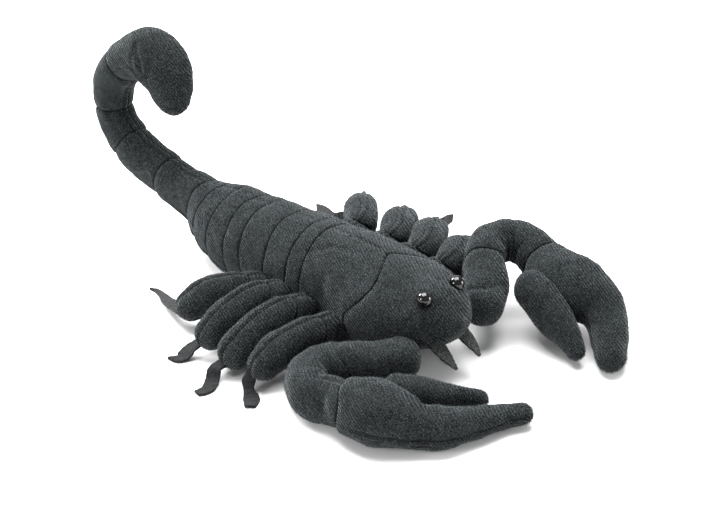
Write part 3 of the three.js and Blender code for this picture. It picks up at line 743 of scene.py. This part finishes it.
def build_arm(side):
    """Upper arm, forearm and claw in one skin."""
    inner = math.pi if side == "right" else 0.0
    outer = inner + math.pi
    arm = Limb(ARMS[side])

    def elbow(angle):
        return arm.at(ELBOW_SEAM) + ELBOW_SLANT[side] * (np.sin(angle) - 0.5)

    def wrist(angle):
        outside = (1 + np.cos(angle - WRIST_OUTSIDE)) / 2
        return arm.at(WRIST) + WRIST_SWEEP[side] * outside**2

    distance, angle, share = skin_grid(arm, [elbow, wrist], columns=112, step=1.25)
    points = arm.surface(distance, angle, share)
    normals = grid_normals(points)
    radius = arm.radius(distance)
    at_elbow = distance - elbow(angle)
    at_wrist = distance - wrist(angle)
    lift = seam(at_elbow, angle, seed=40, depth=1.6, pull=0.7) - INSET
    lift += seam(at_wrist, angle, seed=41, depth=1.7, pull=0.8)
    bare = bare_seam(at_elbow) | bare_seam(at_wrist)
    # painted dark line on the elbow and wrist seams: dark thread and painted shade in their grooves
    thread_and_shade_mask = thread_and_shade(at_elbow) + thread_and_shade(at_wrist)

    claw = weight_from(arm, distance, arm.at(WRIST) + CLAW_START)
    below = turned(angle, lower_seam(side)) * radius
    lift += claw * ridge(below, height=0.6)
    lift += claw * ridge(turned(angle, inner) * radius, height=0.4)
    # painted shade in the grooves beside the claw's lower ridge
    thread_and_shade_mask += CLAW_RIDGE_SHADE * claw * ridge_side_shade(below)

    crease = np.exp(-((turned(angle, inner) / ELBOW_REACH) ** 2))
    full_from, full_to = arm.at(ELBOW_SEAM) + ELBOW_FULL[0], arm.at(WRIST) - ELBOW_FULL[1]
    lift += ELBOW_FILL * crease * weight(distance, full_from, full_to, soft=3.0)
    for station, depth in ELBOW_CREASES:
        lift += crease * groove(distance - arm.at(station), depth, width=1.7)
    for corners, height, width in ARM_FOLDS[side]:
        lift += fold(points, corners, height, width)
    outside = np.exp(-((turned(angle, outer) / OUTER_REACH) ** 2))
    lift += outside * ripple(points, height=0.3, wavelength=15, seed=44)
    lumps = ripple(points, height=0.45, wavelength=27, seed=45)
    lift += lumps + ripple(points, height=0.14, wavelength=9, seed=46)
    points = points + normals * lift[..., None]

    clear, moved = kept_clear(points, [SKINS["body_skin"]["tree"]])
    nodes = [f"{part}_{side}" for part in ("upper_arm", "forearm", "claw")]
    bare |= moved
    shag = frayed_end(arm, distance, more=1.8, reach=5, soft=2.0)
    shag += CLAW_FRAY * claw * np.exp(-((below / FRAY_WIDTH) ** 2))
    place_skin(f"arm_skin_{side}", clear, PLUSH, nodes, bare=bare, thread_and_shade_mask=thread_and_shade_mask, shag=shag)


def lower_seam(side):
    """The angle of the claw's and the thumb's lower seam."""
    return -CLAW_DROP if side == "right" else math.pi + CLAW_DROP


def build_thumb(side):
    """The thumb, pressed against the claw."""
    thumb = Limb(THUMBS[side])
    distance, angle, share = skin_grid(thumb, [], columns=76, step=1.15)
    points = thumb.surface(distance, angle, share)
    normals = grid_normals(points)
    below = turned(angle, lower_seam(side)) * thumb.radius(distance)
    lift = ridge(below, height=0.4) + ripple(points, height=0.35, wavelength=20, seed=50) - INSET
    lift += ripple(points, height=0.12, wavelength=8, seed=51)
    points = points + normals * lift[..., None]
    clear, moved = kept_clear(points, [SKINS[f"arm_skin_{side}"]["tree"]])
    shag = frayed_end(thumb, distance, more=1.8, reach=4, soft=2.0)
    nodes = [f"thumb_{side}"]
    place_skin(f"thumb_skin_{side}", clear, PLUSH, nodes, bare=moved, shag=shag)


for side in SIGNS:
    build_arm(side)
    build_thumb(side)


ROOT = 6.0  # how far a felt strip reaches back into its seam
STRIP_COLUMNS = 44
STRIP_STEP = 0.35  # between the places tried for a strip's seam
STRIP_ROW = 0.6
HOLDER_REACH = 40.0


def strip(stations, name, material, node, holder, side_axis, seed):
    """A felt strip that comes out of a seam of the piece that holds it."""
    limb = Limb(stations, side=side_axis, squareness=FELT_SQUARENESS)
    places = np.arange(0, limb.length, STRIP_STEP)
    line = catmull(limb.places, np.interp(places, limb.run, limb.fine))
    start = 0.0
    for place, point in zip(places, line):
        found, normal, _, _ = holder.find_nearest(Vector(point), HOLDER_REACH)
        if found is not None and (Vector(point) - found).dot(normal) < 0:
            start = place
    start = max(0.0, start - ROOT)
    count = int((limb.length - start) / STRIP_ROW)
    distance = np.repeat(np.linspace(start, limb.length, count)[:, None], STRIP_COLUMNS, axis=1)
    angle = np.broadcast_to(round_angles(STRIP_COLUMNS), distance.shape)
    points = limb.surface(distance, angle, np.ones(distance.shape))
    lift = ripple(points, height=0.10, wavelength=2.4, seed=seed)
    points = points + grid_normals(points) * lift[..., None]
    place_skin(name, points, material, [node])


LEG_RIDGE_TURN = 0.12  # the ridge along a leg lies this angle off its top
LEG_RIDGE_START = 6
# where the painted shade beside a leg's ridge starts, and how dark it is
LEG_RIDGE_SHADE_START = 4
LEG_RIDGE_SHADE = 0.9


def build_leg(side, number, leg):
    """One leg's thigh and shin in one skin, and its felt foot."""
    sign = SIGNS[side]
    hip_height, knee, end, toe, foot = leg
    knee, end = np.array(knee, float), np.array(end, float)
    hip = (sign * HIP_INSET, HIP_FIRST + HIP_STEP * number, hip_height)
    middle = (knee + end) / 2 + (0, 0, SHIN_ARCH)
    outward = unit((end - knee) * (1, 1, 0))
    limb = Limb([
        (*hip, *HIP_SIZE),
        (*knee, SHIN_WIDTH * KNEE_SHARE[0], SHIN_HEIGHT * KNEE_SHARE[1]),
        (*middle, SHIN_WIDTH, SHIN_HEIGHT),
        (*end, SHIN_WIDTH * PAD_END_SHARE, SHIN_HEIGHT * PAD_END_SHARE),
    ], side=unit(np.cross(outward, UP)))

    def knee_seam(angle):
        return limb.at(1) - KNEE_SLANT * np.sin(angle)

    distance, angle, share = skin_grid(limb, [knee_seam], columns=76, step=1.2, open_start=True)
    points = limb.surface(distance, angle, share)
    normals = grid_normals(points)
    seed = 100 * (sign + 2) + 10 * number
    offset = distance - knee_seam(angle)
    along_top = (turned(angle, TOP) + LEG_RIDGE_TURN) * limb.radius(distance)
    lift = seam(offset, angle, seed, depth=1.7, pull=1.1) - INSET
    lift += ridge(along_top, height=0.8) * weight_from(limb, distance, LEG_RIDGE_START)
    upper = weight_from(limb, distance, LEG_RIDGE_SHADE_START, soft=1.5)
    # painted dark line on the knee seam, thread with painted shade, and painted shade beside the leg's ridge
    thread_and_shade_mask = thread_and_shade(offset, width=0.6) + LEG_RIDGE_SHADE * upper * ridge_side_shade(along_top)
    lumps = ripple(points, height=0.4, wavelength=22, seed=seed + 1)
    lift += lumps + ripple(points, height=0.14, wavelength=8, seed=seed + 2)
    points = points + normals * lift[..., None]
    trees = [SKINS["body_skin"]["tree"], SKINS[f"arm_skin_{side}"]["tree"]]
    if number:
        trees.append(SKINS[f"leg_skin_{side}_{number}"]["tree"])
    clear, moved = kept_clear(points, trees)
    bare = bare_seam(offset) | moved
    label = f"{side}_{number + 1}"
    nodes = [f"thigh_{label}", f"shin_{label}"]
    place_skin(f"leg_skin_{label}", clear, PLUSH, nodes, bare=bare, thread_and_shade_mask=thread_and_shade_mask)

    stations = [(*place, FOOT_WIDTH * part, FELT / 2) for place, part in zip(foot, TOES[toe])]
    upright = UP if (side, number) in ON_EDGE else None
    holder = SKINS[f"leg_skin_{label}"]["tree"]
    strip(stations, f"foot_felt_{label}", FOOT_FELT, f"foot_{label}", holder, upright, seed + 3)


for side in SIGNS:
    for number, leg in enumerate(LEGS[side]):
        build_leg(side, number, leg)


# ---- Face ----

def build_fang(side):
    stations = [(SIGNS[side] * (FANG_SPREAD + out), y, z, wide, FELT / 2) for out, y, z, wide in FANG]
    strip(stations, f"fang_felt_{side}", FANG_FELT, f"fang_{side}", SKINS["body_skin"]["tree"], SIDE, seed=70)


EYE_OUT = {"right": 1.1, "left": -0.2}  # how much further out each bead stands
EYE_ROWS = 26
EYE_COLUMNS = 64
EYE_FIRST = 0.03  # the first row's share of the way round, just off the bead's pole
EYE_WRAP = 2.1  # how far round from its front the bead is made
EYE_TEST_ROW = 8  # a row well away from the poles


def build_eye(side):
    """A round bead, made as far round as the cloth that it beds into."""
    low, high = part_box(f"eye_{side}")
    centre = np.array([SIGNS[side] * EYE_SPREAD, EYE_PLACE, EYE_HEIGHT])
    middle = (np.array(low) + np.array(high)) / 2 / MM
    outward = unit(middle - centre)
    aside = unit(np.cross(outward, UP))
    upward = np.cross(aside, outward)
    angle = np.arange(EYE_COLUMNS) / EYE_COLUMNS * 2 * math.pi
    spoke = np.cos(angle)[:, None] * aside + np.sin(angle)[:, None] * upward
    rows = []
    for turn in np.linspace(EYE_FIRST, 1.0, EYE_ROWS) * EYE_WRAP:
        height = EYE_RADIUS * math.cos(turn) + EYE_OUT[side]
        rows.append(centre + outward * height + spoke * (EYE_RADIUS * math.sin(turn)))
    points = np.array(rows)
    if (grid_normals(points)[EYE_TEST_ROW, 0] @ (points[EYE_TEST_ROW, 0] - centre)) < 0:
        points = points[:, ::-1]
    piece = mesh_object(f"eye_bead_{side}", with_poles(points), grid_faces(EYE_ROWS, EYE_COLUMNS), BEAD)
    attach(piece, "root")
    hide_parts(f"eye_{side}")


for side in SIGNS:
    build_fang(side)
    build_eye(side)


# ---- Pile: short tapering tufts, four faces each ----

TUFT_LENGTH = 0.66
TUFT_WIDTH = 0.24
LENGTH_SPREAD = (0.55, 1.25)
WIDTH_SPREAD = (0.7, 1.3)
STAND, NAP, STRAY = 0.75, 0.55, 0.42  # how much of the normal, the nap and chance is in a tuft's lean
TUFT_ROOT = 0.12  # how deep a tuft starts under the skin
TUFT_BACK = 0.8  # how far its third root corner stands off, as a share of its width
CLEAR_OF_FLOOR = 0.02


def tufts(skin, count, rng, cell):
    """Corners and patch places of tufts spread evenly over a skin. cell is its part of the unwrap."""
    points, normals, hidden = skin["points"], skin["normals"], skin["hidden"]
    beside = np.roll(points, -1, axis=1)
    area = np.linalg.norm(np.cross(beside[:-1] - points[:-1], points[1:] - points[:-1]), axis=-1)
    area = np.where(hidden[:-1] | hidden[1:], 0, area)
    order = np.cumsum(area.ravel())
    picks = np.searchsorted(order, (np.arange(count) + rng.random(count)) / count * order[-1])
    row, column = np.divmod(np.minimum(picks, area.size - 1), points.shape[1])
    u, v = rng.random(count), rng.random(count)
    following = (column + 1) % points.shape[1]

    def blend(field):
        lower = field[row, column] * (1 - u)[:, None] + field[row, following] * u[:, None]
        upper = field[row + 1, column] * (1 - u)[:, None] + field[row + 1, following] * u[:, None]
        return lower * (1 - v)[:, None] + upper * v[:, None]

    root, normal = blend(points), unit(blend(normals))
    nap = unit(points[row + 1, column] - points[row, column])
    lean = unit(normal * STAND + nap * NAP + rng.normal(size=(count, 3)) * STRAY)
    across_it = unit(np.cross(lean, normal))
    front = np.cross(across_it, lean)
    wide = TUFT_WIDTH * rng.uniform(*WIDTH_SPREAD, count)[:, None]
    tall = TUFT_LENGTH * (rng.uniform(*LENGTH_SPREAD, count) * skin["shag"][row, column])[:, None]
    base = root - normal * TUFT_ROOT
    corners = np.stack([base - across_it * wide / 2, base + across_it * wide / 2,
                        base + front * wide * TUFT_BACK, root + lean * tall], 1)
    corners[..., 2] = np.maximum(corners[..., 2], CLEAR_OF_FLOOR)
    low_u, low_v, span_u, span_v = cell
    patch = np.stack([low_u + span_u * (column + u) / points.shape[1],
                      low_v + span_v * (row + v) / points.shape[0]], -1)
    return corners, patch


PATCH = 0.003  # width of a tuft's patch on the unwrap
MARGIN = 0.015
UNWRAP_SPAN = 0.97
CELL_SHARE = 0.98
TUFT_FACES = np.array([(0, 1, 3), (1, 2, 3), (2, 0, 3), (0, 2, 1)])
PATCH_CORNERS = np.array([(0.0, 0.0), (1.0, 0.0), (0.5, 1.0), (0.5, 0.5)]) - 0.5


def pile(name, parts, seed):
    """One coat piece over several skins. parts are (skin name, how many tufts, rows to use)."""
    rng = np.random.default_rng(seed)
    share = UNWRAP_SPAN / len(parts)
    corners, patches = [], []
    for index, (skin_name, count, span) in enumerate(parts):
        skin = SKINS[skin_name]
        start, stop = (int(round(f * (len(skin["points"]) - 1))) for f in span)
        cut = {key: skin[key][start:stop + 1] for key in ("points", "normals", "hidden", "shag")}
        cell = (MARGIN, MARGIN + share * index, UNWRAP_SPAN, share * CELL_SHARE)
        tuft, patch = tufts(cut, count, rng, cell)
        corners.append(tuft)
        patches.append(patch)
    corners, patches = np.concatenate(corners), np.concatenate(patches)
    first, second, third = (corners[:, corner] - corners[:, 0] for corner in (1, 2, 3))
    volume = np.einsum("ij,ij->i", np.cross(first, second), third)
    flipped = volume > 0
    corners[flipped] = corners[flipped][:, [1, 0, 2, 3]]
    count = len(corners)
    faces = (np.arange(count)[:, None, None] * 4 + TUFT_FACES[None]).reshape(-1, 3)
    mesh = bpy.data.meshes.new(name)
    mesh.vertices.add(count * 4)
    mesh.vertices.foreach_set("co", (corners.reshape(-1) * MM).astype(np.float32))
    mesh.loops.add(faces.size)
    mesh.loops.foreach_set("vertex_index", faces.reshape(-1).astype(np.int32))
    mesh.polygons.add(len(faces))
    mesh.polygons.foreach_set("loop_start", np.arange(0, faces.size, 3, dtype=np.int32))
    mesh.update(calc_edges=True)
    layer = mesh.uv_layers.new(name="OFBake")
    spots = patches[:, None] + PATCH_CORNERS[None] * PATCH
    layer.uv.foreach_set("vector", spots.reshape(-1, 2)[faces.reshape(-1)].reshape(-1).astype(np.float32))
    piece = bpy.data.objects.new(name, mesh)
    bpy.context.scene.collection.objects.link(piece)
    piece.data.materials.append(PILE)
    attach(piece, "root")


COAT = 45000  # tufts in each coat piece of the body and of the legs
ARM_COAT = 36000
THUMB_COAT = 8000
BODY_COATS = 3
WHOLE = (0, 1)
for index in range(BODY_COATS):
    span = (index / BODY_COATS, (index + 1) / BODY_COATS)
    pile(f"pile_body_{index + 1}", [("body_skin", COAT, span)], seed=200 + index)
for side in SIGNS:
    arm_parts = [(f"arm_skin_{side}", ARM_COAT, WHOLE), (f"thumb_skin_{side}", THUMB_COAT, WHOLE)]
    pile(f"pile_arm_{side}", arm_parts, seed=210)
    legs = len(LEGS[side])
    leg_parts = [(f"leg_skin_{side}_{number + 1}", COAT // legs, WHOLE) for number in range(legs)]
    pile(f"pile_legs_{side}", leg_parts, seed=220)


# ---- Hand stitches along the top of the chest ----

STITCH_FIRST, STITCH_LAST, STITCH_STEP = -41.0, -12.5, 3.2
STITCH_LINE = np.array([0.25, 1.0, 0.0])  # each stitch lies a little across the line that they make
STITCH_HALF = 1.15
STITCH_RADIUS = 0.5
STITCH_TAPER = 0.85
STITCH_RAISED, STITCH_SAG = 0.38, 0.5
STITCH_RINGS = 7
STITCH_CORNERS = 8
ABOVE_BACK = 62.0
BACK_REACH = 60.0


def build_stitches():
    """A row of short fat stitches, each a tapering rod that dives into the cloth at both ends."""
    skin = SKINS["body_skin"]["tree"]
    rows = []
    faces = []
    for y in np.arange(STITCH_FIRST, STITCH_LAST, STITCH_STEP):
        found, normal, _, _ = skin.find_nearest(Vector((STITCHES_X, y, ABOVE_BACK)), BACK_REACH)
        centre, up = np.array(found), np.array(normal)
        along = unit(STITCH_LINE - up * (STITCH_LINE @ up))
        aside = np.cross(along, up)
        first = len(rows)
        for place in np.linspace(-1, 1, STITCH_RINGS):
            thick = STITCH_RADIUS * math.sqrt(max(0.0, 1 - STITCH_TAPER * place**2))
            core = centre + along * place * STITCH_HALF + up * (STITCH_RAISED - STITCH_SAG * place**2)
            for turn in np.arange(STITCH_CORNERS) / STITCH_CORNERS * 2 * math.pi:
                rows.append(core + aside * math.cos(turn) * thick + up * math.sin(turn) * thick)
        for ring in range(STITCH_RINGS - 1):
            start = first + ring * STITCH_CORNERS
            for corner in range(STITCH_CORNERS):
                a, b = start + corner, start + (corner + 1) % STITCH_CORNERS
                faces.append((a, b, b + STITCH_CORNERS, a + STITCH_CORNERS))
        last = first + (STITCH_RINGS - 1) * STITCH_CORNERS
        faces.append(tuple(first + corner for corner in reversed(range(STITCH_CORNERS))))
        faces.append(tuple(last + corner for corner in range(STITCH_CORNERS)))
    piece = mesh_object("stitches_chest", np.array(rows), faces, THREAD)
    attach(piece, "root")


build_stitches()


# ---- Floor, light and camera ----

FLOOR_REACH = 3.0  # in metres, as are all places and sizes from here on
FLOOR_DROP = 0.0002
WORLD_STRENGTH = 0.50
LIT_PLACE = Vector((0, 0, 0.04))
LIGHTS = (  # name, place, size and watts
    ("over", (0.16, 0.26, 1.15), 1.1, 52.0),
    ("behind", (0.00, 1.15, 0.62), 0.45, 28.0),
    ("right_of_camera", (0.88, -1.02, 0.30), 0.45, 12.0),
    ("left_of_camera", (-1.35, 0.35, 0.50), 0.35, 13.0),
)
AZIMUTH, ELEVATION = math.radians(-46), math.radians(29)
CAMERA_AWAY = 0.91854
CAMERA_TARGET = Vector((0.0486, 0.02997, 0.00891))
LENS, SENSOR = 80, 36  # in millimetres
NEAREST = 0.01


def build_floor():
    mesh = bpy.data.meshes.new("floor")
    corners = [(x * FLOOR_REACH, y * FLOOR_REACH, 0) for x, y in ((-1, -1), (1, -1), (1, 1), (-1, 1))]
    mesh.from_pydata(corners, [], [(0, 1, 2, 3)])
    floor = bpy.data.objects.new("floor", mesh)
    floor.location.z = -FLOOR_DROP
    bpy.context.scene.collection.objects.link(floor)
    n = Nodes("floor_paper")
    n.link(n.ramp(n.noise(60.0), grey(0.90), grey(0.92)), n.shader.inputs["Base Color"])
    floor.data.materials.append(n.finish(Roughness=0.9))


def build_light():
    world = bpy.data.worlds.new("studio")
    world.use_nodes = True
    background = world.node_tree.nodes["Background"]
    background.inputs["Color"].default_value = (1, 1, 1, 1)
    background.inputs["Strength"].default_value = WORLD_STRENGTH
    bpy.context.scene.world = world
    for name, place, size, power in LIGHTS:
        light = bpy.data.lights.new(name, "AREA")
        light.size = size
        light.energy = power
        lamp = bpy.data.objects.new(name, light)
        lamp.location = place
        lamp.rotation_euler = (LIT_PLACE - Vector(place)).to_track_quat("-Z", "Y").to_euler()
        bpy.context.scene.collection.objects.link(lamp)


def build_camera():
    level = math.cos(ELEVATION)
    back = Vector((math.sin(AZIMUTH) * level, -math.cos(AZIMUTH) * level, math.sin(ELEVATION)))
    data = bpy.data.cameras.new("camera")
    data.lens, data.sensor_width, data.clip_start = LENS, SENSOR, NEAREST
    camera = bpy.data.objects.new("camera", data)
    camera.location = CAMERA_TARGET + back * CAMERA_AWAY
    camera.rotation_euler = (-back).to_track_quat("-Z", "Y").to_euler()
    bpy.context.scene.collection.objects.link(camera)
    bpy.context.scene.camera = camera


build_floor()
build_light()
build_camera()
bpy.context.scene.view_settings.view_transform = "Standard"
